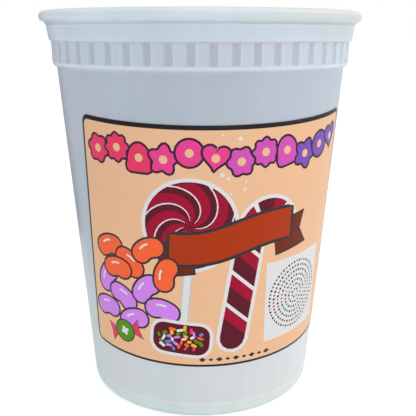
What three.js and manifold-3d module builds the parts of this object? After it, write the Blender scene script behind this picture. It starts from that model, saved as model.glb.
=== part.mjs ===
// A shut 32 oz tub of cotton candy: a tapered tub with a ribbed band under its rim, a press-on lid
// and a printed label wrapped round the front. Millimetres, +Z up, the base centre at the origin
// and the label facing -Y.
import * as THREE from "three";
import { mergeVertices } from "three/addons/utils/BufferGeometryUtils.js";
import Module from "manifold-3d";

// heights above the table, from the base up
const HEIGHT = 142.75;
const BASE_CORNER = 5.6; // radius where the side turns under to the flat base
const SHOULDER_Z = 123.45; // top of the tapered side
const BAND_LOW_Z = 125.05; // foot of the ribbed band
const BAND_TOP_Z = 132.45;
const LIP_Z = 133.35; // top of the small round lip above the band
const NOSE_HEIGHT = 4.3; // the lid's rolled edge with the slope under it

// radii
const BASE_RADIUS = 43.35; // where the side's line meets the table
const SHOULDER_RADIUS = 53.25;
const BAND_LOW_RADIUS = 54.8;
const BAND_TOP_RADIUS = 54.9;
const LIP_RADIUS = 55.55;
const FLARE_RADIUS = 56.5; // the tub just under the lid
const LID_RADIUS = 58.75;

// ribbed band
const RIBS = 50;
const GROOVE_WIDTH = 3.0;
const GROOVE_DEPTH = 0.75;
const GROOVE_MARGIN = 0.35; // plain strip above and below each groove

// lid
const NOSE_WIDTH = 2.35; // how far the rolled edge bulges out
const ROLL_HALF = 1.7; // half the height of the roll itself
const ROLL_START = 50; // degrees below level at which the slope meets the roll
const RING_INNER_RADIUS = 54.2;
const PANEL_DROP = 2.6; // the panel lies this far below the rolled edge
const PANEL_RADIUS = 52.9;
const STEP_RADIUS = 45.5; // low stiffening step in the panel
const STEP_HEIGHT = 0.6;
const LID_GAP = 0.3;

// label: a flat rectangle with round corners, laid on the cone without stretching
const LABEL_WIDTH = 108.5;
const LABEL_HEIGHT = 86.2;
const LABEL_CORNER = 3;
const LABEL_CENTRE_Z = 64.45; // height of the label's middle on the cone
const LABEL_TURN = 10.4; // degrees round the tub, towards +X
const LABEL_TILT = 0.5; // degrees, anticlockwise as seen from the front
const LABEL_THICKNESS = 0.35;
const LABEL_GAP = 0.2;

const SEGMENTS = RIBS * 3;

function arc(cx, cy, rx, ry, from, to, steps) {
  const points = [];
  for (let i = 0; i <= steps; i += 1) {
    const angle = from + ((to - from) * i) / steps;
    points.push(new THREE.Vector2(cx + rx * Math.cos(angle), cy + ry * Math.sin(angle)));
  }
  return points;
}

function lathe(points) {
  const geometry = new THREE.LatheGeometry(points, SEGMENTS);
  geometry.rotateX(Math.PI / 2);
  geometry.deleteAttribute("normal");
  geometry.deleteAttribute("uv");
  return mergeVertices(geometry, 1e-5);
}

const wasm = await Module();
wasm.setup();

function solidOf(geometry) {
  const merged = mergeVertices(geometry, 1e-5);
  const positions = new Float32Array(merged.getAttribute("position").array);
  const triangles = new Uint32Array(merged.index.array);
  return new wasm.Manifold(
    new wasm.Mesh({ numProp: 3, vertProperties: positions, triVerts: triangles }),
  );
}

function geometryOf(solid) {
  const mesh = solid.getMesh();
  const geometry = new THREE.BufferGeometry();
  geometry.setAttribute("position", new THREE.BufferAttribute(mesh.vertProperties, 3));
  geometry.setIndex(new THREE.BufferAttribute(mesh.triVerts, 1));
  geometry.computeVertexNormals();
  return geometry;
}

// The side is a straight cone from the base corner to the shoulder.
const slope = (SHOULDER_RADIUS - BASE_RADIUS) / SHOULDER_Z;
const lean = Math.atan(slope);
const cornerCentre =
  BASE_RADIUS + BASE_CORNER * slope - BASE_CORNER / Math.cos(lean);

function tubGeometry() {
  const top = HEIGHT - NOSE_HEIGHT - LID_GAP;
  const profile = [
    new THREE.Vector2(0, 0),
    ...arc(cornerCentre, BASE_CORNER, BASE_CORNER, BASE_CORNER, -Math.PI / 2, -lean, 6),
    new THREE.Vector2(SHOULDER_RADIUS, SHOULDER_Z),
    new THREE.Vector2(SHOULDER_RADIUS + 0.55, SHOULDER_Z + 0.15),
    new THREE.Vector2(BAND_LOW_RADIUS - 0.25, BAND_LOW_Z - 0.35),
    new THREE.Vector2(BAND_LOW_RADIUS, BAND_LOW_Z),
    new THREE.Vector2(BAND_TOP_RADIUS, BAND_TOP_Z),
    new THREE.Vector2(LIP_RADIUS - 0.2, BAND_TOP_Z + 0.2),
    new THREE.Vector2(LIP_RADIUS, BAND_TOP_Z + 0.65),
    new THREE.Vector2(LIP_RADIUS + 0.1, LIP_Z),
    new THREE.Vector2(FLARE_RADIUS - 0.25, top - 1.6),
    new THREE.Vector2(FLARE_RADIUS, top),
    new THREE.Vector2(0, top),
  ];
  let tub = solidOf(lathe(profile));
  const low = BAND_LOW_Z + GROOVE_MARGIN;
  const high = BAND_TOP_Z - GROOVE_MARGIN;
  const floor = BAND_TOP_RADIUS - GROOVE_DEPTH;
  for (let i = 0; i < RIBS; i += 1) {
    const groove = new THREE.BoxGeometry(GROOVE_WIDTH, 4, high - low);
    groove.deleteAttribute("normal");
    groove.deleteAttribute("uv");
    groove.translate(0, -(floor + 2), (low + high) / 2);
    groove.rotateZ(((i + 0.5) / RIBS) * Math.PI * 2);
    tub = tub.subtract(solidOf(groove));
  }
  return geometryOf(tub);
}

function lidGeometry() {
  const panel = HEIGHT - PANEL_DROP;
  const profile = [
    new THREE.Vector2(0, HEIGHT - NOSE_HEIGHT),
    new THREE.Vector2(FLARE_RADIUS + 0.1, HEIGHT - NOSE_HEIGHT),
    ...arc(
      LID_RADIUS - NOSE_WIDTH,
      HEIGHT - ROLL_HALF,
      NOSE_WIDTH,
      ROLL_HALF,
      -THREE.MathUtils.degToRad(ROLL_START),
      Math.PI / 2,
      9,
    ),
    new THREE.Vector2(RING_INNER_RADIUS + 0.6, HEIGHT - 0.15),
    new THREE.Vector2(RING_INNER_RADIUS, HEIGHT - 0.7),
    new THREE.Vector2(PANEL_RADIUS, panel),
    new THREE.Vector2(STEP_RADIUS + 0.8, panel),
    new THREE.Vector2(STEP_RADIUS, panel + STEP_HEIGHT),
    new THREE.Vector2(0, panel + STEP_HEIGHT),
  ];
  return geometryOf(solidOf(lathe(profile)));
}

// A point of the flat label, u to the right and v up from its middle, laid on the cone: lines
// from the cone's tip stay straight, so distances on the label are kept.
function onCone(u, v, offset) {
  const tilt = THREE.MathUtils.degToRad(LABEL_TILT);
  const across = u * Math.cos(tilt) - v * Math.sin(tilt);
  const up = u * Math.sin(tilt) + v * Math.cos(tilt);
  const middle = (BASE_RADIUS + slope * LABEL_CENTRE_Z) / Math.sin(lean);
  const reach = Math.hypot(across, middle + up);
  const turn =
    Math.atan2(across, middle + up) / Math.sin(lean) + THREE.MathUtils.degToRad(LABEL_TURN);
  const radius = reach * Math.sin(lean) + offset * Math.cos(lean);
  const z = LABEL_CENTRE_Z + (reach - middle) * Math.cos(lean) - offset * Math.sin(lean);
  return [radius * Math.sin(turn), -radius * Math.cos(turn), z];
}

function labelGeometry() {
  const halfWidth = LABEL_WIDTH / 2;
  const halfHeight = LABEL_HEIGHT / 2;
  const columns = [];
  for (let i = 0; i <= 3; i += 1) {
    const angle = (i / 4) * (Math.PI / 2);
    const inset = LABEL_CORNER * (1 - Math.sin(angle));
    columns.push([LABEL_CORNER * (1 - Math.cos(angle)) - halfWidth, halfHeight - inset]);
  }
  const left = columns.slice();
  for (let i = 0; i <= 28; i += 1) {
    columns.push([(LABEL_CORNER - halfWidth) * (1 - i / 14), halfHeight]);
  }
  for (const [u, top] of left.reverse()) {
    columns.push([-u, top]);
  }
  const rows = 5;
  const across = columns.length;
  const positions = [];
  for (const offset of [LABEL_GAP, LABEL_GAP + LABEL_THICKNESS]) {
    for (const [u, top] of columns) {
      for (let j = 0; j <= rows; j += 1) {
        positions.push(...onCone(u, top * ((2 * j) / rows - 1), offset));
      }
    }
  }
  const layer = across * (rows + 1);
  const at = (i, j, side) => side * layer + i * (rows + 1) + j;
  const index = [];
  const quad = (a, b, c, d) => {
    index.push(a, b, c, a, c, d);
  };
  for (let i = 0; i + 1 < across; i += 1) {
    for (let j = 0; j < rows; j += 1) {
      quad(at(i, j, 1), at(i + 1, j, 1), at(i + 1, j + 1, 1), at(i, j + 1, 1));
      quad(at(i, j, 0), at(i, j + 1, 0), at(i + 1, j + 1, 0), at(i + 1, j, 0));
    }
    quad(at(i, 0, 0), at(i + 1, 0, 0), at(i + 1, 0, 1), at(i, 0, 1));
    quad(at(i, rows, 0), at(i, rows, 1), at(i + 1, rows, 1), at(i + 1, rows, 0));
  }
  for (let j = 0; j < rows; j += 1) {
    quad(at(0, j, 0), at(0, j, 1), at(0, j + 1, 1), at(0, j + 1, 0));
    const end = across - 1;
    quad(at(end, j, 0), at(end, j + 1, 0), at(end, j + 1, 1), at(end, j, 1));
  }
  const geometry = new THREE.BufferGeometry();
  geometry.setAttribute("position", new THREE.Float32BufferAttribute(positions, 3));
  geometry.setIndex(index);
  geometry.computeVertexNormals();
  return geometry;
}

const tub = new THREE.Mesh(
  tubGeometry(),
  new THREE.MeshStandardMaterial({ color: 0xc6d2db, roughness: 0.35, metalness: 0 }),
);
tub.name = "tub";

const lid = new THREE.Mesh(
  lidGeometry(),
  new THREE.MeshStandardMaterial({ color: 0xd2dce0, roughness: 0.3, metalness: 0 }),
);
lid.name = "lid";

const label = new THREE.Mesh(
  labelGeometry(),
  new THREE.MeshStandardMaterial({ color: 0xf4cda8, roughness: 0.35, metalness: 0 }),
);
label.name = "label";

const group = new THREE.Group();
group.add(tub, lid, label);

export default group;
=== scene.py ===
import math
import random

import bpy
import numpy as np
from mathutils import Matrix, Vector, noise
from mathutils.geometry import delaunay_2d_cdt


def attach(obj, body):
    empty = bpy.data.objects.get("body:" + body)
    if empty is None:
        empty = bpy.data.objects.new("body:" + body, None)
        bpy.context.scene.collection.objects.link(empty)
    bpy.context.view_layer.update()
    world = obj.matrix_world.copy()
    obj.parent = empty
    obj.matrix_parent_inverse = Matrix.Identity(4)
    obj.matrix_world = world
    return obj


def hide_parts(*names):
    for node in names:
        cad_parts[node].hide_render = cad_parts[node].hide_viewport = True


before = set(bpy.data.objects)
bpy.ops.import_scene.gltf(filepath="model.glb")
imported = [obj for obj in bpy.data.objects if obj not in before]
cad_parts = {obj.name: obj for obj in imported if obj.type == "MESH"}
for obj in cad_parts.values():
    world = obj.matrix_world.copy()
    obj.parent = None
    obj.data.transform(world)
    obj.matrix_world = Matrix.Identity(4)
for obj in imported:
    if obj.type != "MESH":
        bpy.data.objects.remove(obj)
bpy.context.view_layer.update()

# The tub is an injection-moulded cup of milky, translucent polypropylene, thin in the side and
# thicker in the round lips above and below its ribbed band. It is drawn as one closed wall,
# turned about the z axis, with the band's grooves sunk into the outside.
wall = 0.0008
side_foot = (0.04335, 0.0)  # radius and height
side_top = (0.05325, 0.12345)
taper = math.atan2(side_top[0] - side_foot[0], side_top[1])
wall_step = 0.012  # longest step down the wall between two rings of points
band_low = 0.1250
band_top = 0.13245
band_reach = 0.0004  # how far past the band its finer rings go
band_step = 0.0009
band_face = 0.0545  # radius outside which a point lies on the band's outer face
rib_count = 50
groove_depth = 0.00055
groove_turn = math.radians(0.5)
groove_floor = 0.10  # half the width of its flat floor, as a share of the ribs' spacing
groove_side = 0.16  # the width of its sloping side, as a share of the same
groove_foot = 0.0006  # heights over which it runs out at its foot and at its head
groove_head = 0.0005

tub_outside = [
    # radius, height, rounding
    (0.0, 0.0, 0.0),
    (0.0337, 0.0, 0.0),
    (0.0343, 0.0005, 0.0),
    (0.0351, 0.0005, 0.0),
    (0.0357, 0.0, 0.0),
    (0.04335, 0.0, 0.0061),
    (0.05325, 0.12345, 0.0004),
    (0.05440, 0.12395, 0.0006),
    (0.05480, 0.12525, 0.0008),
    (0.05490, 0.13245, 0.0003),
    (0.05548, 0.13262, 0.0004),
    (0.05570, 0.1335, 0.0005),
    (0.05620, 0.1365, 0.0008),
    (0.05660, 0.1389, 0.0),
]
tub_inside = [
    (0.05580, 0.1389, 0.0),
    (0.05540, 0.1365, 0.0008),
    (0.05470, 0.1332, 0.0008),
    (0.05395, 0.1320, 0.0006),
    (0.05385, 0.1255, 0.0006),
    (0.05245, 0.1239, 0.0008),
    (0.04250, 0.0010, 0.0055),
    (0.0, 0.0010, 0.0),
]


def rounded(corners, small_steps=4):
    """The line through (radius, height, rounding) corners, with each corner rounded off."""
    large, large_steps, nearly_half = 0.002, 9, 0.49
    line = []
    for i, (r, z, rounding) in enumerate(corners):
        here = Vector((r, z))
        if rounding == 0.0 or i in (0, len(corners) - 1):
            line.append(here)
            continue
        before = Vector(corners[i - 1][:2]) - here
        after = Vector(corners[i + 1][:2]) - here
        reach = min(rounding, before.length * nearly_half, after.length * nearly_half)
        start = here + before.normalized() * reach
        end = here + after.normalized() * reach
        steps = small_steps if rounding < large else large_steps
        for k in range(steps + 1):
            t = k / steps
            line.append(start * (1 - t) ** 2 + here * 2 * t * (1 - t) + end * t**2)
    return line


def split(line, longest):
    """The same line with points added so that no step is longer than longest."""
    out = [line[0]]
    for a, b in zip(line, line[1:]):
        pieces = max(1, math.ceil((b - a).length / longest))
        for k in range(1, pieces + 1):
            out.append(a.lerp(b, k / pieces))
    return out


def turned(name, line, turns, shape=None):
    """A closed body turned about z from a line that starts and ends on the axis."""
    points = []
    faces = []
    count = len(turns)
    poles = []
    rings = []
    for r, z in line:
        if r < 1e-7:
            poles.append(len(points))
            points.append((0.0, 0.0, z))
            rings.append(None)
            continue
        rings.append(len(points))
        for turn in turns:
            radius = r if shape is None else shape(turn, r, z)
            points.append((radius * math.sin(turn), -radius * math.cos(turn), z))
    for a, b in zip(rings, rings[1:]):
        for i in range(count):
            j = (i + 1) % count
            if a is None:
                faces.append((poles[0], b + j, b + i))
            elif b is None:
                faces.append((a + i, a + j, poles[-1]))
            else:
                faces.append((a + i, a + j, b + j, b + i))
    mesh = bpy.data.meshes.new(name)
    mesh.from_pydata(points, [], faces)
    mesh.validate()
    mesh.update()
    mesh.shade_smooth()
    piece = bpy.data.objects.new(name, mesh)
    bpy.context.collection.objects.link(piece)
    return piece


def clamped(value):
    """The value, kept between 0 and 1."""
    return min(1.0, max(0.0, value))


def band_groove(turn, r, z):
    """Sinks the soft grooves of the band into the outside of the wall."""
    if r < band_face or not band_low - 0.0002 < z < band_top + 0.0001:
        return r
    phase = ((turn - groove_turn) / math.tau * rib_count) % 1.0
    across = 1.0 - clamped((abs(phase - 0.5) - groove_floor) / groove_side)
    foot = clamped((z - band_low - 0.0001) / groove_foot)
    head = clamped((band_top - z) / groove_head)
    sink = across * foot * head
    return r - groove_depth * sink * sink * (3 - 2 * sink)


rib_steps = [
    0.0, 0.12, 0.24, 0.28, 0.32, 0.36, 0.40, 0.44, 0.56, 0.60, 0.64, 0.68, 0.72, 0.76, 0.88,
]
rib_turns = [
    (rib + step) / rib_count * math.tau + groove_turn
    for rib in range(rib_count)
    for step in rib_steps
]
outside = rounded(tub_outside)
fine_low, fine_top = band_low - band_reach, band_top + band_reach
low_part = [p for p in split(outside, wall_step) if p.y <= fine_low]
band = [p for p in split(outside, band_step) if fine_low < p.y < fine_top]
high_part = [p for p in outside if p.y >= fine_top]
tub_line = low_part + band + high_part + split(rounded(tub_inside), wall_step)
tub = turned("tub_wall", tub_line, rib_turns, band_groove)


def node_group(name, inputs, outputs):
    """An empty shader node group with named sockets, and its input and output nodes."""
    group = bpy.data.node_groups.new(name, "ShaderNodeTree")
    for label_text, kind, value in inputs:
        socket = group.interface.new_socket(name=label_text, in_out="INPUT", socket_type=kind)
        socket.default_value = value
    for label_text, kind in outputs:
        group.interface.new_socket(name=label_text, in_out="OUTPUT", socket_type=kind)
    start = group.nodes.new("NodeGroupInput")
    end = group.nodes.new("NodeGroupOutput")
    return group, start, end


def linear(red, green, blue):
    """A colour given as 0 to 255 on screen, as the linear values that shaders take."""
    def one(value):
        value /= 255
        return value / 12.92 if value <= 0.04045 else ((value + 0.055) / 1.055) ** 2.4
    return (one(red), one(green), one(blue), 1.0)


# milky plastic: soft clouds where the melt flowed, a breath of rose in some of them and of green
# in others, a painted warm reflection that makes one side of the rim creamier, and a surface that
# waves a little under its gloss
milky, milky_in, milky_out = node_group(
    "milky plastic",
    [
        ("Tone", "NodeSocketColor", (0.8, 0.8, 0.8, 1)),
        ("Cloud", "NodeSocketFloat", 0.5),
        ("Gloss Roughness", "NodeSocketFloat", 0.3),
        ("Warm Reflection Start", "NodeSocketFloat", 0.022),
    ],
    [("Color", "NodeSocketColor"), ("Roughness", "NodeSocketFloat"), ("Height", "NodeSocketFloat")],
)
nodes, links = milky.nodes, milky.links
place = nodes.new("ShaderNodeTexCoord")
sides = nodes.new("ShaderNodeSeparateXYZ")
links.new(place.outputs["Object"], sides.inputs[0])
rightward = nodes.new("ShaderNodeMapRange")
rightward.inputs["From Max"].default_value = 0.055
links.new(sides.outputs["X"], rightward.inputs["Value"])
links.new(milky_in.outputs["Warm Reflection Start"], rightward.inputs["From Min"])
upward = nodes.new("ShaderNodeMapRange")
upward.inputs["From Min"].default_value = 0.1315
upward.inputs["From Max"].default_value = 0.1345
links.new(sides.outputs["Z"], upward.inputs["Value"])
# painted warm reflection: above the band, the plastic turns creamier towards its right side
warm_reflection_share = nodes.new("ShaderNodeMath")
warm_reflection_share.operation = "MULTIPLY"
links.new(rightward.outputs["Result"], warm_reflection_share.inputs[0])
links.new(upward.outputs["Result"], warm_reflection_share.inputs[1])
warm_reflection_ramp = nodes.new("ShaderNodeValToRGB")
warm_reflection_ramp.color_ramp.elements[0].color = (1.0, 1.0, 1.0, 1)
warm_reflection_ramp.color_ramp.elements[1].color = (0.925, 0.875, 0.78, 1)
links.new(warm_reflection_share.outputs[0], warm_reflection_ramp.inputs["Fac"])
warm_reflected = nodes.new("ShaderNodeVectorMath")
warm_reflected.operation = "MULTIPLY"
links.new(milky_in.outputs["Tone"], warm_reflected.inputs[0])
links.new(warm_reflection_ramp.outputs["Color"], warm_reflected.inputs[1])
blush = nodes.new("ShaderNodeTexNoise")
blush.inputs["Scale"].default_value = 26.0
blush.inputs["Detail"].default_value = 2.0
links.new(place.outputs["Object"], blush.inputs["Vector"])
hint = nodes.new("ShaderNodeValToRGB")
hint.color_ramp.interpolation = "EASE"
hint.color_ramp.elements[0].position = 0.22
hint.color_ramp.elements[0].color = (0.955, 1.02, 0.995, 1)
hint.color_ramp.elements[1].position = 0.78
hint.color_ramp.elements[1].color = (1.015, 0.985, 1.0, 1)
links.new(blush.outputs["Fac"], hint.inputs["Fac"])
tone = nodes.new("ShaderNodeVectorMath")
tone.operation = "MULTIPLY"
links.new(warm_reflected.outputs[0], tone.inputs[0])
links.new(hint.outputs["Color"], tone.inputs[1])
flow = nodes.new("ShaderNodeMapping")
flow.inputs["Scale"].default_value = (1.0, 1.0, 0.22)
links.new(place.outputs["Object"], flow.inputs["Vector"])
cloud = nodes.new("ShaderNodeTexNoise")
cloud.inputs["Scale"].default_value = 34.0
cloud.inputs["Detail"].default_value = 4.0
cloud.inputs["Roughness"].default_value = 0.55
links.new(flow.outputs["Vector"], cloud.inputs["Vector"])
swing = nodes.new("ShaderNodeMapRange")
swing.inputs["From Min"].default_value = 0.1
swing.inputs["From Max"].default_value = 0.9
swing.inputs["To Min"].default_value = -0.13
swing.inputs["To Max"].default_value = 0.13
links.new(cloud.outputs["Fac"], swing.inputs["Value"])
depth = nodes.new("ShaderNodeMath")
depth.operation = "MULTIPLY_ADD"
depth.inputs[2].default_value = 1.0
links.new(swing.outputs["Result"], depth.inputs[0])
links.new(milky_in.outputs["Cloud"], depth.inputs[1])
clouded = nodes.new("ShaderNodeVectorMath")
clouded.operation = "SCALE"
links.new(tone.outputs[0], clouded.inputs[0])
links.new(depth.outputs[0], clouded.inputs["Scale"])
links.new(clouded.outputs[0], milky_out.inputs["Color"])
wave = nodes.new("ShaderNodeTexNoise")
wave.inputs["Scale"].default_value = 90.0
wave.inputs["Detail"].default_value = 2.0
links.new(flow.outputs["Vector"], wave.inputs["Vector"])
dull = nodes.new("ShaderNodeMath")
dull.operation = "MULTIPLY_ADD"
dull.inputs[1].default_value = 0.16
links.new(wave.outputs["Fac"], dull.inputs[0])
links.new(milky_in.outputs["Gloss Roughness"], dull.inputs[2])
links.new(dull.outputs[0], milky_out.inputs["Roughness"])
links.new(wave.outputs["Fac"], milky_out.inputs["Height"])


def set_rungs(ramp, rungs):
    """Gives a colour ramp its (place, colour) stops, the first at 0 and the last at 1."""
    stops = ramp.color_ramp.elements
    stops[0].color = rungs[0][1]
    stops[-1].color = rungs[-1][1]
    for place_on_ramp, colour in rungs[1:-1]:
        stops.new(place_on_ramp).color = colour


def plastic(name, tones, cloudiness, gloss):
    """A material of milky plastic, its tones given by (height, screen colour) from the base up."""
    material = bpy.data.materials.new(name)
    material.use_nodes = True
    tree = material.node_tree
    shader = tree.nodes["Principled BSDF"]
    spot = tree.nodes.new("ShaderNodeTexCoord")
    axes = tree.nodes.new("ShaderNodeSeparateXYZ")
    tree.links.new(spot.outputs["Object"], axes.inputs[0])
    # the ladder of tones by height holds painted light and shade as well as the plastic's colour
    rise = tree.nodes.new("ShaderNodeMapRange")
    rise.inputs["From Min"].default_value = tones[0][0]
    rise.inputs["From Max"].default_value = tones[-1][0]
    tree.links.new(axes.outputs["Z"], rise.inputs["Value"])
    ladder = tree.nodes.new("ShaderNodeValToRGB")
    span = tones[-1][0] - tones[0][0]
    set_rungs(ladder, [((height - tones[0][0]) / span, linear(*tone)) for height, tone in tones])
    tree.links.new(rise.outputs["Result"], ladder.inputs["Fac"])
    effect = tree.nodes.new("ShaderNodeGroup")
    effect.name = "milky"
    effect.node_tree = milky
    effect.inputs["Cloud"].default_value = cloudiness
    effect.inputs["Gloss Roughness"].default_value = gloss
    tree.links.new(ladder.outputs["Color"], effect.inputs["Tone"])
    bump = tree.nodes.new("ShaderNodeBump")
    bump.inputs["Strength"].default_value = 0.10
    bump.inputs["Distance"].default_value = 0.0003
    tree.links.new(effect.outputs["Color"], shader.inputs["Base Color"])
    tree.links.new(effect.outputs["Roughness"], shader.inputs["Roughness"])
    tree.links.new(effect.outputs["Height"], bump.inputs["Height"])
    tree.links.new(bump.outputs["Normal"], shader.inputs["Normal"])
    shader.inputs["IOR"].default_value = 1.49
    shader.inputs["Specular IOR Level"].default_value = 0.35
    shader.inputs["Subsurface Weight"].default_value = 0.4
    shader.inputs["Subsurface Radius"].default_value = (0.9, 1.0, 1.1)
    shader.inputs["Subsurface Scale"].default_value = 0.004
    return material


# painted light and shade by height: the body darker from about 6 cm up to the shoulder, lighter
# towards the base, light lines on the foot's rounding and on the lips above and below the band, and
# a lighter flare under the rim
tub_tones_and_shading = [
    (0.0, (222, 240, 239)),
    (0.0050, (226, 237, 237)),
    (0.0056, (238, 245, 247)),
    (0.0063, (228, 235, 238)),
    (0.0300, (223, 231, 236)),
    (0.0400, (219, 228, 234)),
    (0.0600, (198, 207, 219)),
    (0.0700, (190, 199, 213)),
    (0.0900, (189, 199, 213)),
    (0.1050, (192, 201, 216)),
    (0.1226, (193, 202, 218)),
    (0.1233, (207, 216, 231)),
    (0.1238, (212, 221, 236)),
    (0.1242, (212, 221, 236)),
    (0.1246, (228, 237, 249)),
    (0.1250, (226, 235, 247)),
    (0.1253, (206, 218, 233)),
    (0.1320, (207, 219, 234)),
    (0.1331, (219, 231, 246)),
    (0.1340, (213, 232, 250)),
    (0.1370, (213, 233, 252)),
    (0.1378, (234, 248, 255)),
    (0.1389, (234, 248, 255)),
]
tub_plastic = plastic("milky tub plastic", tub_tones_and_shading, 1.0, 0.26)
tub.data.materials.append(tub_plastic)

# painted shade on the left side of each groove and a painted glint along its right edge, laid
# into the tub's base colour
glow, _, glow_out = node_group("groove light", [], [("Light", "NodeSocketFloat")])
nodes, links = glow.nodes, glow.links


def maths(operation, first, second, third=0.0):
    """A maths node in the current tree, each input of which is a value or another node's output."""
    node = nodes.new("ShaderNodeMath")
    node.operation = operation
    for socket, value in zip(node.inputs, (first, second, third)):
        if isinstance(value, float):
            socket.default_value = value
        else:
            links.new(value, socket)
    return node.outputs[0]


place = nodes.new("ShaderNodeTexCoord")
axes = nodes.new("ShaderNodeSeparateXYZ")
links.new(place.outputs["Object"], axes.inputs[0])
turn = maths("ARCTAN2", axes.outputs["X"], maths("MULTIPLY", axes.outputs["Y"], -1.0))
shift = rib_count - groove_turn * rib_count / math.tau
phase = maths("FRACT", maths("MULTIPLY_ADD", turn, rib_count / math.tau, shift), 0.0)
gleam = nodes.new("ShaderNodeValToRGB")
gleam_levels = [
    (0.0, 0.5), (0.22, 0.5), (0.28, 0.22), (0.46, 0.22), (0.62, 0.40), (0.71, 0.5), (0.74, 0.95),
    (0.78, 0.95), (0.81, 0.5), (1.0, 0.5),
]
set_rungs(gleam, [(across, (level, level, level, 1)) for across, level in gleam_levels])
links.new(phase, gleam.inputs["Fac"])
band_middle = (band_low + band_top) / 2
band_half = (band_top - band_low) / 2 - 0.0003
in_band = maths("COMPARE", axes.outputs["Z"], band_middle, band_half)
gleam_strength = 0.28
swing_of = maths("MULTIPLY_ADD", gleam.outputs["Color"], gleam_strength, -gleam_strength / 2)
links.new(maths("MULTIPLY_ADD", swing_of, in_band, 1.0), glow_out.inputs["Light"])

nodes, links = tub_plastic.node_tree.nodes, tub_plastic.node_tree.links
shader = nodes["Principled BSDF"]
# the painted groove shade and glint scale the tub's base colour
glow_node = nodes.new("ShaderNodeGroup")
glow_node.node_tree = glow
lit = nodes.new("ShaderNodeVectorMath")
lit.operation = "SCALE"
links.new(shader.inputs["Base Color"].links[0].from_socket, lit.inputs[0])
links.new(glow_node.outputs["Light"], lit.inputs["Scale"])
links.new(lit.outputs[0], shader.inputs["Base Color"])
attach(tub, "root")
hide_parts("tub")

# Four short marks are moulded just under the shoulder, two at the front and two at the back. Each
# is a rounded bar that hangs from the shoulder and stands a fraction of a millimetre off the wall.
mark_turns = [math.radians(turn) for turn in (-25.1, 21.5, 154.9, 201.5)]
mark_top = side_top[1] + 0.0005
mark_height = 0.0016
mark_width = 0.0007
mark_depth = 0.0005
mark_sink = 0.0002  # how far its back lies inside the wall
levels, around = 6, 10

mark_points = []
mark_faces = []
for turn in mark_turns:
    first = len(mark_points)
    out = Vector((math.sin(turn), -math.cos(turn), 0))
    along = Vector((math.cos(turn), math.sin(turn), 0))
    for level in range(levels + 1):
        t = level / levels
        swell = math.sin(math.pi / 2 * min(1.0, 0.12 + 1.8 * t))
        z = mark_top - mark_height * (1 - t)
        radius = side_foot[0] + (side_top[0] - side_foot[0]) * z / side_top[1] - mark_sink
        for k in range(around):
            angle = math.tau * k / around
            point = out * (radius + mark_depth * swell * max(0.0, math.cos(angle)))
            point += along * (mark_width / 2 * swell * math.sin(angle))
            mark_points.append((point.x, point.y, z))
    for level in range(levels):
        for k in range(around):
            a = first + level * around + k
            b = first + level * around + (k + 1) % around
            mark_faces.append((a, b, b + around, a + around))
    mark_faces.append(tuple(first + k for k in reversed(range(around))))
    mark_faces.append(tuple(first + levels * around + k for k in range(around)))
mark_mesh = bpy.data.meshes.new("moulded_marks")
mark_mesh.from_pydata(mark_points, [], mark_faces)
mark_mesh.update()
mark_mesh.shade_smooth()
marks = bpy.data.objects.new("moulded_marks", mark_mesh)
bpy.context.collection.objects.link(marks)
# the marks' near-white tones are a painted highlight, where each ridge would catch the light
mark_tones_and_highlight = [(0.1215, (238, 244, 252)), (0.1235, (246, 250, 255))]
marks.data.materials.append(plastic("milky mark plastic", mark_tones_and_highlight, 0.3, 0.25))
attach(marks, "root")
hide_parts("tub")

# The cotton candy is a loose white mass of spun sugar that fills the tub and presses against its
# wall. It is lumpy only at its free top, and its matt surface is covered with fine threads.
fill_low = 0.0016
fill_top = 0.126
fill_corner = 0.0052
fill_press = 0.00015  # how far it reaches into the wall
crown_height = 0.010  # the rounded edge of its top
crown_width = 0.012
lump_depth = 0.0045
lump_start = 0.014  # how far under the top the lumps begin, and over what height they grow
lump_ease = 0.010
corner_steps, side_steps, crown_steps = 7, 67, 14


def even_turns(count):
    """That many turns at even steps round the whole circle."""
    return [math.tau * i / count for i in range(count)]


def lumps(turn, r, z):
    """Heaps the mass in lumps at its free top, and leaves it pressed to the wall below."""
    at = Vector((math.sin(turn), -math.cos(turn), z / 0.05)) * 2.3
    dent = clamped(0.5 + 0.5 * noise.fractal(at, 0.6, 2.1, 4))
    free = clamped((z - fill_top + lump_start) / lump_ease)
    return r - lump_depth * dent * free * min(1.0, r / 0.03)


fill_reach = side_foot[0] - wall + fill_press
fill_line = [Vector((0.0, fill_low)), Vector((0.015, fill_low)), Vector((0.030, fill_low))]
for i in range(corner_steps):
    t = i / corner_steps * math.pi / 2
    side = fill_reach - fill_corner * (1 - math.sin(t))
    fill_line.append(Vector((side, fill_low + fill_corner * (1 - math.cos(t)))))
for i in range(side_steps + 1):
    z = fill_low + fill_corner + (fill_top - crown_height - fill_low - fill_corner) * i / side_steps
    fill_line.append(Vector((fill_reach + math.tan(taper) * z, z)))
crown_edge = side_foot[0] - wall + math.tan(taper) * (fill_top - crown_height)
for i in range(1, crown_steps):
    t = i / crown_steps * math.pi / 2
    side = crown_edge - crown_width + crown_width * math.cos(t)
    fill_line.append(Vector((side, fill_top - crown_height + crown_height * math.sin(t))))
fill_line.append(Vector((0.020, fill_top + 0.001)))
fill_line.append(Vector((0.0, fill_top + 0.001)))
floss = turned("cotton_candy", fill_line, even_turns(160), lumps)

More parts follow.
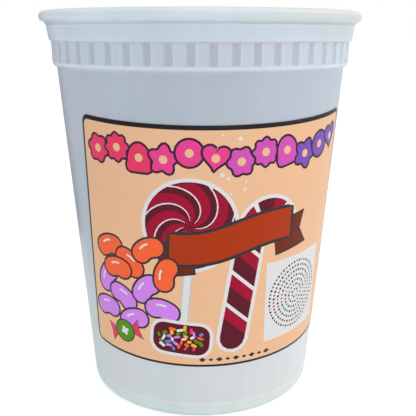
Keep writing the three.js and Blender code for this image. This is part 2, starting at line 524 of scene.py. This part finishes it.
spun = bpy.data.materials.new("spun sugar")
spun.use_nodes = True
nodes, links = spun.node_tree.nodes, spun.node_tree.links
shader = nodes["Principled BSDF"]
place = nodes.new("ShaderNodeTexCoord")
warp = nodes.new("ShaderNodeTexNoise")
warp.inputs["Scale"].default_value = 70.0
warp.inputs["Detail"].default_value = 3.0
links.new(place.outputs["Object"], warp.inputs["Vector"])
drift = nodes.new("ShaderNodeVectorMath")
drift.operation = "MULTIPLY_ADD"
drift.inputs[1].default_value = (0.02, 0.02, 0.02)
links.new(warp.outputs["Color"], drift.inputs[0])
links.new(place.outputs["Object"], drift.inputs[2])
threads = nodes.new("ShaderNodeTexNoise")
threads.inputs["Scale"].default_value = 420.0
threads.inputs["Detail"].default_value = 6.0
threads.inputs["Roughness"].default_value = 0.7
links.new(drift.outputs[0], threads.inputs["Vector"])
sugar = nodes.new("ShaderNodeValToRGB")
sugar.color_ramp.elements[0].position = 0.3
sugar.color_ramp.elements[0].color = linear(196, 204, 212)
sugar.color_ramp.elements[1].position = 0.7
sugar.color_ramp.elements[1].color = linear(244, 246, 247)
links.new(warp.outputs["Fac"], sugar.inputs["Fac"])
links.new(sugar.outputs["Color"], shader.inputs["Base Color"])
bump = nodes.new("ShaderNodeBump")
bump.inputs["Strength"].default_value = 0.7
bump.inputs["Distance"].default_value = 0.0006
links.new(threads.outputs["Fac"], bump.inputs["Height"])
links.new(bump.outputs["Normal"], shader.inputs["Normal"])
shader.inputs["Roughness"].default_value = 0.9
shader.inputs["Sheen Weight"].default_value = 0.3
floss.data.materials.append(spun)
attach(floss, "root")
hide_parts("tub")

# The lid is a thin moulded disc of the same milky plastic. Its rolled edge presses over the tub's
# rim. Its panel lies a little lower, stiffened by a low step and a low ring in its middle.
lid_line = rounded(
    [
        (0.0, 0.1390, 0.0),
        (0.0540, 0.1390, 0.0004),
        (0.0546, 0.1397, 0.0004),
        (0.0569, 0.1397, 0.0003),
        (0.05648, 0.1379, 0.0001),
        (0.05680, 0.13855, 0.0008),
        (0.05850, 0.1396, 0.0008),
        (0.05880, 0.1404, 0.0006),
        (0.05872, 0.1418, 0.0012),
        (0.0574, 0.14272, 0.0014),
        (0.0550, 0.14272, 0.0012),
        (0.0541, 0.1421, 0.0006),
        (0.0530, 0.1402, 0.0006),
        (0.0463, 0.1402, 0.0005),
        (0.0455, 0.1408, 0.0005),
        (0.0180, 0.1408, 0.0004),
        (0.0174, 0.1411, 0.0004),
        (0.0, 0.1411, 0.0),
    ],
    small_steps=8,
)
lid = turned("lid", lid_line, even_turns(256))
# painted light and shade by height: the underside of the rolled edge lighter, a darker band under
# its top, and a painted highlight running all round just below the top
lid_tones_and_shading = [
    (0.1379, (240, 250, 255)),
    (0.1384, (240, 250, 255)),
    (0.1391, (230, 244, 255)),
    (0.1395, (218, 231, 243)),
    (0.1402, (217, 228, 239)),
    (0.1410, (216, 226, 236)),
    (0.1417, (229, 236, 235)),
    (0.1421, (227, 234, 232)),
    (0.1427, (220, 228, 228)),
]
lid_plastic = plastic("milky lid plastic", lid_tones_and_shading, 0.7, 0.24)
# on the lid the painted warm reflection begins nearer the middle
lid_plastic.node_tree.nodes["milky"].inputs["Warm Reflection Start"].default_value = 0.005
lid.data.materials.append(lid_plastic)
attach(lid, "root")
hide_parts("lid")

# The label is a printed plastic sticker, glued round the front of the tub without a crease. Its
# flat print is cut into patches, one for each ink, and laid on the cone so that no length on it
# changes: u runs to the right and v up from its middle, both in millimetres.
label_width = 108.5  # in millimetres, like its height, its corner and the print
label_height = 86.2
label_corner = 3.0
label_middle = 0.06445  # how high its middle lies, in metres, like its lift and thickness
label_turn = math.radians(10.4)
label_tilt = math.radians(0.5)
label_lift = 0.00006
label_thickness = 0.00016
longest_edge = 2.2  # of a patch, in millimetres
grid_step = 3.1  # between the points inside the patches, which let them bend round the tub
grid_across, grid_up = 17, 13  # steps of that grid each way from the label's middle

ink_tones = {
    "border": (36, 30, 34),
    "peach": (242, 193, 152),
    "rose": (238, 60, 106),
    "pink": (238, 68, 146),
    "orchid": (216, 84, 184),
    "violet": (128, 80, 184),
    "plum": (58, 34, 58),
    "caramel": (178, 54, 6),
    "cocoa": (116, 38, 12),
    "charcoal": (56, 52, 54),
    "maroon": (96, 18, 38),
    "crimson": (166, 4, 50),
    "white": (228, 228, 228),
    "orange": (255, 104, 56),
    "lilac": (214, 138, 240),
    "green": (86, 148, 18),
    "yellow": (246, 190, 40),
    "blue": (66, 150, 214),
    "silver": (196, 200, 206),
}
ink_names = list(ink_tones)
painted = []


def paint(ink, outline):
    """Lays a patch of ink over what is there already, its long edges split to bend on the tub."""
    edge = []
    for a, b in zip(outline, np.roll(outline, -1, axis=0)):
        pieces = max(1, math.ceil(np.linalg.norm(b - a) / longest_edge))
        edge += [a + (b - a) * k / pieces for k in range(pieces)]
    painted.append((ink_names.index(ink), np.array(edge)))


def box_outline(width, height, corner, steps=6):
    """A box with round corners, about its middle."""
    points = []
    for quarter, (sx, sy) in enumerate(((1, 1), (-1, 1), (-1, -1), (1, -1))):
        for k in range(steps + 1):
            angle = math.pi / 2 * (quarter + k / steps)
            points.append(
                (
                    sx * (width / 2 - corner) + corner * math.cos(angle),
                    sy * (height / 2 - corner) + corner * math.sin(angle),
                )
            )
    return np.array(points)


def disc_outline(radius, wobble=0.0, lobes=5, steps=36):
    """A disc, or a flower where its edge wobbles in and out."""
    angles = np.arange(steps) * math.tau / steps
    reach = radius * (1 + wobble * np.cos(lobes * angles))
    return np.stack([reach * np.cos(angles), reach * np.sin(angles)], axis=1)


def heart_outline(size):
    """A plump heart, about its middle."""
    t = np.arange(40) * math.tau / 40
    x = 16 * np.sin(t) ** 3
    y = 13 * np.cos(t) - 5 * np.cos(2 * t) - 2 * np.cos(3 * t) - np.cos(4 * t)
    return np.stack([-x, y + 2.0], axis=1) * size / 17


def drop_outline(width, height):
    """A gumdrop: a dome on a flat, round-cornered foot."""
    dome = [
        (width / 2 * math.cos(a), height * (0.62 * math.sin(a) - 0.12))
        for a in np.linspace(0, math.pi, 15)
    ]
    foot = [
        (-width * 0.55, -height * 0.30),
        (-width * 0.50, -height * 0.45),
        (-width * 0.38, -height * 0.50),
        (width * 0.38, -height * 0.50),
        (width * 0.50, -height * 0.45),
        (width * 0.55, -height * 0.30),
    ]
    return np.array(dome + foot)


def sides_of(line, width):
    """The right and left edges of a band of one width along a line of points."""
    line = np.array(line, dtype=float)
    ahead = np.gradient(line, axis=0)
    ahead /= np.linalg.norm(ahead, axis=1, keepdims=True)
    side = np.stack([-ahead[:, 1], ahead[:, 0]], axis=1) * width / 2
    return line - side, line + side, ahead


def stroke_outline(line, width, steps=7):
    """A band of one width along a line of points, with round ends."""
    right, left, ahead = sides_of(line, width)
    angles = (math.pi * np.arange(1, steps) / steps)[:, None]
    caps = []
    for start, end, way in ((right[-1], left[-1], ahead[-1]), (left[0], right[0], -ahead[0])):
        middle, across = (start + end) / 2, (start - end) / 2
        caps.append(middle + across * np.cos(angles) + way * width / 2 * np.sin(angles))
    return np.concatenate([right, caps[0], left[::-1], caps[1]])


def bean_outline(length, width):
    """A jelly bean: a short bent band with round ends."""
    bend = 0.45
    radius = (length - width) / (2 * bend)
    line = [(radius * math.sin(a), radius * (math.cos(a) - 1)) for a in np.linspace(-bend, bend, 9)]
    return stroke_outline(line, width)


def placed(outline, u, v, turn=0.0):
    """The outline turned by some degrees and moved to a place on the label."""
    c, s = math.cos(math.radians(turn)), math.sin(math.radians(turn))
    x, y = outline[:, 0], outline[:, 1]
    return np.stack([u + x * c - y * s, v + x * s + y * c], axis=1)


def grown(outline, edge):
    """The outline moved outwards by edge, which leaves a rim when painted underneath."""
    ahead = np.roll(outline, -1, axis=0) - np.roll(outline, 1, axis=0)
    out = np.stack([ahead[:, 1], -ahead[:, 0]], axis=1)
    out /= np.maximum(np.linalg.norm(out, axis=1, keepdims=True), 1e-9)
    return outline + out * edge


def rimmed(ink, rim, edge, outline):
    """Paints a patch on a larger one of another ink, which shows as its rim."""
    paint(rim, grown(outline, edge))
    paint(ink, outline)


# a peach ground inside a dark border, which is a little wider along the top
paint("border", box_outline(label_width, label_height, label_corner))
ground = box_outline(label_width - 2.0, label_height - 2.4, label_corner - 0.9)
paint("peach", placed(ground, 0, -0.35))

# a striped stick of rock with a hooked end, which stands low in the middle
rock_width = 9.0
rock_low, rock_high = -19.5, 21.0
hook = 6.5
rock_line = [(0.0, v) for v in np.linspace(rock_low, rock_high, 28)]
for a in np.linspace(0.15, 2.9, 18):
    rock_line.append((hook - hook * math.cos(a), rock_high + hook * math.sin(a)))
rock_place = (5.5, -13.0, -9.0)
rimmed("maroon", "white", 1.3, placed(stroke_outline(rock_line, rock_width), *rock_place))
rock_right, rock_left, _ = sides_of(rock_line, rock_width)
stripe_spacing, stripe_slant = 8, 4  # in points of the line
for first in range(1, 42, stripe_spacing):
    for ink, begin, end in (("crimson", 0, 3), ("white", 3, 4)):
        low_end, high_end = first + begin, first + end
        right_run = rock_right[low_end:high_end + 1]
        left_run = rock_left[low_end + stripe_slant:high_end + stripe_slant + 1]
        if len(right_run) > 1 and len(left_run) == len(right_run):
            stripe = np.concatenate([right_run, left_run[::-1]])
            paint(ink, placed(stripe, *rock_place))

# a large round lollipop with seven curved blades, on a white stick that leans outwards
pop_u, pop_v, pop_radius = -12.5, 9.5, 15.2
pop_blades = 7


def blade_outline(start, near_angle, far_angle, inner):
    """A blade that curves from near the middle to the rim, between two angles from its start."""
    points = []
    outward = np.linspace(inner, pop_radius, 12)
    inward = np.linspace(pop_radius, inner, 12)
    for width_angle, steps in ((near_angle, outward), (far_angle, inward)):
        for r in steps:
            angle = start + width_angle + 1.5 * (r / pop_radius) ** 1.4
            points.append((r * math.cos(angle), r * math.sin(angle)))
    return np.array(points)


pop_stick = [(pop_u + 0.02, pop_v - 10), (pop_u - 3.0, -38.0)]
rimmed("white", "silver", 0.45, stroke_outline(pop_stick, 2.3))
rimmed("maroon", "white", 1.3, placed(disc_outline(pop_radius, steps=60), pop_u, pop_v))
for k in range(pop_blades):
    start = math.tau * k / pop_blades
    paint("crimson", placed(blade_outline(start, 0.0, 0.50, 0.6), pop_u, pop_v))
    paint("white", placed(blade_outline(start, 0.50, 0.57, 2.0), pop_u, pop_v))

# a bare ribbon that waves across both, with its tails folded behind
ribbon_place = (2.5, 4.5, 8.0)
tail_corners = np.array([(15.0, 1.5), (29.0, 1.5), (25.5, -4.0), (29.0, -9.5), (15.0, -9.5)])
for side in (-1, 1):
    tail = tail_corners * (side, 1)
    rimmed("cocoa", "charcoal", 1.0, placed(tail[::-1] if side > 0 else tail, *ribbon_place))
ribbon_line = [(u, 1.3 * math.sin(u / 7.4)) for u in np.linspace(-22.0, 22.0, 27)]
ribbon_low, ribbon_high, _ = sides_of(ribbon_line, 10.5)
ribbon = np.concatenate([ribbon_low, ribbon_high[::-1]])
rimmed("caramel", "charcoal", 1.15, placed(ribbon, *ribbon_place))

# a row of sweets along the top, from rose on the left to violet on the right
row_left, row_height, row_step = -46.2, 32.6, 8.4
row_inks = ["rose"] * 3 + ["pink"] * 3 + ["orchid"] * 3 + ["violet"] * 3
row_forms = [
    disc_outline(4.2, 0.12, 6),
    heart_outline(4.7),
    disc_outline(4.3),
    disc_outline(4.2, 0.20, 5),
    drop_outline(8.0, 9.4),
    disc_outline(4.2, 0.12, 8),
]
for k, ink in enumerate(row_inks):
    u = row_left + row_step * k
    v = row_height + 1.6 * math.sin(k * 1.9)
    turn = (-9, 7, 0, 12, -6)[k % 5]
    form = row_forms[(k * 5) % 6]
    paint("plum", grown(placed(form, u, v, turn), 0.8))
    paint("plum", placed(form, u, v + 0.7, turn))
    paint(ink, placed(form, u, v, turn))
    paint("peach", placed(disc_outline(1.4, steps=20), u, v))

# a heap of jelly beans at the lower left, orange above lilac
bean_places = {
    "lilac": [
        (-45.4, -14.0, 62), (-37.5, -19.5, -28), (-28.5, -14.5, 48), (-22.0, -21.5, -12),
        (-46.0, -25.8, 8), (-33.6, -27.4, 24),
    ],
    "orange": [
        (-43.6, -1.4, 18), (-34.0, -5.6, -38), (-27.4, 0.2, 30), (-21.2, -8.4, 74),
        (-40.0, -9.0, 4),
    ],
}
for ink, places in bean_places.items():
    for u, v, turn in places:
        rimmed(ink, "charcoal", 0.75, placed(bean_outline(12.4, 6.6), u, v, turn))
        gleam = [(-2.2, 1.0), (-0.6, 1.45), (1.0, 1.4)]
        paint("white", placed(stroke_outline(gleam, 0.7, 4), u, v, turn))

# a wrapped mint, and a patch of maroon with scattered sprinkles
mint_u, mint_v = -37.5, -33.6
for side in (-1, 1):
    wing = np.array([(side * 2.4, 0.0), (side * 7.4, 3.6), (side * 6.3, 0.0), (side * 7.4, -3.6)])
    rimmed("rose", "charcoal", 0.4, placed(wing if side < 0 else wing[::-1], mint_u, mint_v, 18))
rimmed("green", "charcoal", 0.5, placed(disc_outline(4.0), mint_u, mint_v))
paint("white", placed(disc_outline(1.5, 0.25, 4), mint_u, mint_v, 30))
patch_u, patch_v = -15.5, -32.4
rimmed("maroon", "white", 1.2, placed(box_outline(20, 11.5, 4.0), patch_u, patch_v, -4))
scatter = random.Random(7)
sprinkle_inks = ["yellow", "blue", "green", "orange", "lilac", "white", "rose"]
sprinkles = 34
for k in range(sprinkles):
    spread = math.sqrt((k + 0.5) / sprinkles)
    u = patch_u + 8.6 * spread * math.cos(k * 2.4)
    v = patch_v + 4.5 * spread * math.sin(k * 2.4)
    bar = box_outline(scatter.uniform(1.5, 2.5), scatter.uniform(0.8, 1.2), 0.4, 3)
    paint(scatter.choice(sprinkle_inks), placed(bar, u, v, scatter.uniform(0, 180)))

# a white panel at the lower right, with a doily of small dark dots in rings
panel_u, panel_v = 29.2, -21.2
paint("white", placed(box_outline(29.0, 30.6, 0.8), panel_u, panel_v))
first_ring, ring_step = 1.6, 1.85
for ring in range(7):
    ring_radius = first_ring + ring_step * ring
    dots = round(ring_radius * 4.4)
    for k in range(dots):
        angle = math.tau * (k + 0.5 * (ring % 2)) / dots
        u = panel_u + ring_radius * math.cos(angle)
        v = panel_v + ring_radius * math.sin(angle)
        ink = "rose" if (k * 7 + ring * 3) % 19 == 0 else "charcoal"
        paint(ink, placed(disc_outline(0.40 + 0.10 * (k % 2), steps=8), u, v))

# sugar grains that rise over the middle, and a short row of lozenges at the foot
for k in range(16):
    u = 1.0 + 7.0 * math.sin(k * 2.4) * (1 - k / 26)
    v = 20.5 + 1.3 * k
    if not 27.0 < v < 38.0:
        paint("white", placed(disc_outline(0.42 + 0.16 * (k % 3), steps=12), u, v))
lozenge = np.array([(1.3, 0.0), (0.0, 0.9), (-1.3, 0.0), (0.0, -0.9)])
for k in range(9):
    paint("charcoal", placed(lozenge * (0.7 if k % 2 else 1.0), -8.0 + 3.0 * k, -40.3))


def on_cone(u, v, lift):
    """The place on the tub of a point of the flat label, lifted off the plastic by lift."""
    across = (u * math.cos(label_tilt) - v * math.sin(label_tilt)) / 1000
    up = (u * math.sin(label_tilt) + v * math.cos(label_tilt)) / 1000
    middle = (side_foot[0] + math.tan(taper) * label_middle) / math.sin(taper)
    reach = math.hypot(across, middle + up)
    turn = math.atan2(across, middle + up) / math.sin(taper) + label_turn
    radius = reach * math.sin(taper) + lift * math.cos(taper)
    z = label_middle + (reach - middle) * math.cos(taper) - lift * math.sin(taper)
    return (radius * math.sin(turn), -radius * math.cos(turn), z)


flat_points = []
flat_edges = []
for _, outline in painted:
    first = len(flat_points)
    count = len(outline)
    flat_points += [Vector((float(x), float(y))) for x, y in outline]
    flat_edges += [(first + i, first + (i + 1) % count) for i in range(count)]
for i in range(-grid_across, grid_across + 1):
    for j in range(-grid_up, grid_up + 1):
        flat_points.append(Vector((i * grid_step + 0.07 * (j % 3), j * grid_step + 0.05 * (i % 3))))
cut_points, _, cut_faces, _, _, _ = delaunay_2d_cdt(flat_points, flat_edges, [], 0, 1e-4)
cut_points = np.array([tuple(p) for p in cut_points])
cut_faces = np.array([tuple(f) for f in cut_faces if len(f) == 3])
middles = cut_points[cut_faces].mean(axis=1)


def inside(points, outline):
    """Which points lie inside a closed outline."""
    x, y = points[:, 0], points[:, 1]
    found = np.zeros(len(points), dtype=bool)
    for (x1, y1), (x2, y2) in zip(outline, np.roll(outline, -1, axis=0)):
        if y1 == y2:
            continue
        crosses = (y1 > y) != (y2 > y)
        found ^= crosses & (x < x1 + (y - y1) * (x2 - x1) / (y2 - y1))
    return found


ink_of = np.full(len(cut_faces), -1)
for ink, outline in painted:
    ink_of[inside(middles, outline)] = ink
ink_of[~inside(middles, painted[0][1])] = -1
cut_faces = cut_faces[ink_of >= 0]
ink_of = ink_of[ink_of >= 0]

corner_a, corner_b, corner_c = (cut_points[cut_faces[:, k]] for k in range(3))
turned_back = np.cross(corner_b - corner_a, corner_c - corner_a) < 0
cut_faces[turned_back] = cut_faces[turned_back][:, ::-1]
used, flat_index = np.unique(cut_faces, return_inverse=True)
cut_faces = flat_index.reshape(-1, 3)
cut_points = cut_points[used]
total = len(cut_points)
front = [on_cone(u, v, label_lift + label_thickness) for u, v in cut_points]
back = [on_cone(u, v, label_lift) for u, v in cut_points]
faces = [tuple(int(i) for i in f) for f in cut_faces]
edge_count = {}
for a, b, c in faces:
    for edge in ((a, b), (b, c), (c, a)):
        edge_count[edge] = edge_count.get(edge, 0) + 1
rim_edges = [edge for edge in edge_count if (edge[1], edge[0]) not in edge_count]
all_faces = faces + [(c + total, b + total, a + total) for a, b, c in faces]
all_faces += [(b, a, a + total, b + total) for a, b in rim_edges]
label_mesh = bpy.data.meshes.new("label")
label_mesh.from_pydata(front + back, [], all_faces)
label_mesh.update()
for index, polygon in enumerate(label_mesh.polygons):
    polygon.use_smooth = index < 2 * len(faces)
    polygon.material_index = int(ink_of[index]) if index < len(faces) else ink_names.index("white")
label = bpy.data.objects.new("label", label_mesh)
bpy.context.collection.objects.link(label)

# printed sticker: faint bands across from the printer's passes, a fine dot grain in the ink, and
# a gloss that varies a little
printed, printed_in, printed_out = node_group(
    "printed sticker",
    [("Ink", "NodeSocketColor", (0.8, 0.8, 0.8, 1)), ("Gloss Roughness", "NodeSocketFloat", 0.3)],
    [("Color", "NodeSocketColor"), ("Roughness", "NodeSocketFloat"), ("Height", "NodeSocketFloat")],
)
nodes, links = printed.nodes, printed.links
place = nodes.new("ShaderNodeTexCoord")
grain = nodes.new("ShaderNodeTexNoise")
grain.inputs["Scale"].default_value = 2600.0
grain.inputs["Detail"].default_value = 2.0
links.new(place.outputs["Object"], grain.inputs["Vector"])
passes = nodes.new("ShaderNodeTexNoise")
passes.noise_dimensions = "1D"
passes.inputs["Scale"].default_value = 900.0
passes.inputs["Detail"].default_value = 2.0
parts = nodes.new("ShaderNodeSeparateXYZ")
links.new(place.outputs["Object"], parts.inputs[0])
links.new(parts.outputs["Z"], passes.inputs["W"])
both = nodes.new("ShaderNodeMath")
both.operation = "ADD"
links.new(grain.outputs["Fac"], both.inputs[0])
links.new(passes.outputs["Fac"], both.inputs[1])
strength = nodes.new("ShaderNodeMapRange")
strength.inputs["From Min"].default_value = 0.6
strength.inputs["From Max"].default_value = 1.4
strength.inputs["To Min"].default_value = 0.975
strength.inputs["To Max"].default_value = 1.02
links.new(both.outputs[0], strength.inputs["Value"])
laid = nodes.new("ShaderNodeVectorMath")
laid.operation = "SCALE"
links.new(printed_in.outputs["Ink"], laid.inputs[0])
links.new(strength.outputs["Result"], laid.inputs["Scale"])
links.new(laid.outputs[0], printed_out.inputs["Color"])
dull = nodes.new("ShaderNodeMath")
dull.operation = "MULTIPLY_ADD"
dull.inputs[1].default_value = 0.08
links.new(grain.outputs["Fac"], dull.inputs[0])
links.new(printed_in.outputs["Gloss Roughness"], dull.inputs[2])
links.new(dull.outputs[0], printed_out.inputs["Roughness"])
links.new(grain.outputs["Fac"], printed_out.inputs["Height"])

for ink_name, tone_values in ink_tones.items():
    ink_material = bpy.data.materials.new(ink_name + " ink")
    ink_material.use_nodes = True
    tree = ink_material.node_tree
    shader = tree.nodes["Principled BSDF"]
    effect = tree.nodes.new("ShaderNodeGroup")
    effect.node_tree = printed
    effect.inputs["Ink"].default_value = linear(*tone_values)
    effect.inputs["Gloss Roughness"].default_value = 0.30
    bump = tree.nodes.new("ShaderNodeBump")
    bump.inputs["Strength"].default_value = 0.08
    bump.inputs["Distance"].default_value = 0.00005
    tree.links.new(effect.outputs["Color"], shader.inputs["Base Color"])
    tree.links.new(effect.outputs["Roughness"], shader.inputs["Roughness"])
    tree.links.new(effect.outputs["Height"], bump.inputs["Height"])
    tree.links.new(bump.outputs["Normal"], shader.inputs["Normal"])
    shader.inputs["Specular IOR Level"].default_value = 0.16
    label.data.materials.append(ink_material)
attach(label, "root")
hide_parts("label")

# The tub stands on a plain white table that runs on behind it, in soft light from the right and
# above. The left is dimmer, with a small spot on the tub's foot. The camera is about 20 cm in
# front, just under the rim and tipped down.
floor_mesh = bpy.data.meshes.new("table")
table_reach = 8.0
floor_mesh.from_pydata(
    [(x * table_reach, y * table_reach, 0) for x, y in ((-1, -1), (1, -1), (1, 1), (-1, 1))],
    [],
    [(0, 1, 2, 3)],
)
floor = bpy.data.objects.new("table", floor_mesh)
bpy.context.collection.objects.link(floor)
white_top = bpy.data.materials.new("white table")
white_top.use_nodes = True
nodes, links = white_top.node_tree.nodes, white_top.node_tree.links
speckle = nodes.new("ShaderNodeTexNoise")
speckle.inputs["Scale"].default_value = 60.0
tint = nodes.new("ShaderNodeValToRGB")
tint.color_ramp.elements[0].color = (0.95, 0.95, 0.95, 1)
tint.color_ramp.elements[1].color = (0.98, 0.98, 0.98, 1)
links.new(speckle.outputs["Fac"], tint.inputs["Fac"])
links.new(tint.outputs["Color"], nodes["Principled BSDF"].inputs["Base Color"])
nodes["Principled BSDF"].inputs["Roughness"].default_value = 0.8
lift = nodes.new("ShaderNodeMath")
lift.operation = "MULTIPLY"
table_glow = 0.4
lift.inputs[1].default_value = table_glow
looked_at = nodes.new("ShaderNodeLightPath")
links.new(looked_at.outputs["Is Camera Ray"], lift.inputs[0])
links.new(lift.outputs[0], nodes["Principled BSDF"].inputs["Emission Strength"])
nodes["Principled BSDF"].inputs["Emission Color"].default_value = (1.0, 1.0, 1.0, 1)
floor.data.materials.append(white_top)

# a dark card close behind the tub on the left, which only its gloss reflects, draws the thin dark
# line down the tub's left side
card_near, card_far = (-0.096, 0.112), (-0.134, 0.088)
card_low, card_high = 0.018, 0.17
card_mesh = bpy.data.meshes.new("dark_card")
card_mesh.from_pydata(
    [
        (*card_near, card_low),
        (*card_far, card_low),
        (*card_far, card_high),
        (*card_near, card_high),
    ],
    [],
    [(0, 1, 2, 3)],
)
card = bpy.data.objects.new("dark_card", card_mesh)
bpy.context.collection.objects.link(card)
card_black = bpy.data.materials.new("dark card")
card_black.use_nodes = True
black_shader = card_black.node_tree.nodes["Principled BSDF"]
black_shader.inputs["Base Color"].default_value = (0.01, 0.013, 0.016, 1)
black_shader.inputs["Roughness"].default_value = 0.9
card.data.materials.append(card_black)
card.visible_camera = False
card.visible_diffuse = False
card.visible_shadow = False
card.visible_transmission = False

world = bpy.data.worlds.new("studio")
world.use_nodes = True
nodes, links = world.node_tree.nodes, world.node_tree.links
sky_way = nodes.new("ShaderNodeTexCoord")
sky_axes = nodes.new("ShaderNodeSeparateXYZ")
links.new(sky_way.outputs["Generated"], sky_axes.inputs[0])
sideways = nodes.new("ShaderNodeMapRange")
sideways.inputs["From Min"].default_value = -1.0
sideways.inputs["From Max"].default_value = 1.0
links.new(sky_axes.outputs["X"], sideways.inputs["Value"])
studio = nodes.new("ShaderNodeValToRGB")
studio_levels = [
    (0.0, (0.425, 0.45, 0.475, 1)),
    (0.40, (0.86, 0.875, 0.90, 1)),
    (0.6, (0.97, 0.97, 0.97, 1)),
    (1.0, (0.96, 0.95, 0.925, 1)),
]
set_rungs(studio, studio_levels)
links.new(sideways.outputs["Result"], studio.inputs["Fac"])
seen = nodes.new("ShaderNodeLightPath")
backdrop = nodes.new("ShaderNodeMix")
backdrop.data_type = "RGBA"
backdrop.inputs[7].default_value = (1.0, 1.0, 1.0, 1)
links.new(seen.outputs["Is Camera Ray"], backdrop.inputs["Factor"])
links.new(studio.outputs["Color"], backdrop.inputs[6])
links.new(backdrop.outputs[2], nodes["Background"].inputs["Color"])
bpy.context.scene.world = world
bpy.context.scene.view_settings.view_transform = "Standard"


def softbox(name, at, aim, size, power):
    """A large soft lamp, aimed at a point."""
    lamp = bpy.data.lights.new(name, "AREA")
    lamp.shape = "RECTANGLE"
    lamp.size, lamp.size_y = size
    lamp.energy = power
    holder = bpy.data.objects.new(name, lamp)
    holder.location = at
    holder.rotation_euler = (Vector(aim) - Vector(at)).to_track_quat("-Z", "Y").to_euler()
    bpy.context.collection.objects.link(holder)


softbox("key", (0.75, -0.05, 0.6), (0, 0, 0.13), (0.25, 0.5), 0.6)
softbox("front", (0.25, -0.9, 0.75), (0, 0, 0.08), (0.6, 0.6), 0.8)

foot_lamp = bpy.data.lights.new("foot", "SPOT")
foot_lamp.energy = 1.6
foot_lamp.spot_size = math.radians(11)
foot_lamp.spot_blend = 1.0
foot_lamp.shadow_soft_size = 0.06
foot_at, foot_aim = Vector((-0.42, -0.34, 0.07)), Vector((-0.022, -0.035, 0.004))
foot = bpy.data.objects.new("foot", foot_lamp)
foot.location = foot_at
foot.rotation_euler = (foot_aim - foot_at).to_track_quat("-Z", "Y").to_euler()
bpy.context.collection.objects.link(foot)

camera_back = 0.262
camera_height = 0.13516
camera_pitch = math.radians(14.48)
camera_yaw = math.radians(0.64)
camera_roll = math.radians(0.15)
camera_focal = 676.89  # in pixels of a picture 416 wide
picture_width = 416
sensor_width = 36.0
camera = bpy.data.cameras.new("camera")
camera.sensor_width = sensor_width
camera.lens = camera_focal / picture_width * sensor_width
camera.clip_start = 0.01
eye = bpy.data.objects.new("camera", camera)
eye.matrix_world = (
    Matrix.Translation((0, -camera_back, camera_height))
    @ Matrix.Rotation(-camera_yaw, 4, "Z")
    @ Matrix.Rotation(math.pi / 2 - camera_pitch, 4, "X")
    @ Matrix.Rotation(camera_roll, 4, "Z")
)
bpy.context.collection.objects.link(eye)
bpy.context.scene.camera = eye
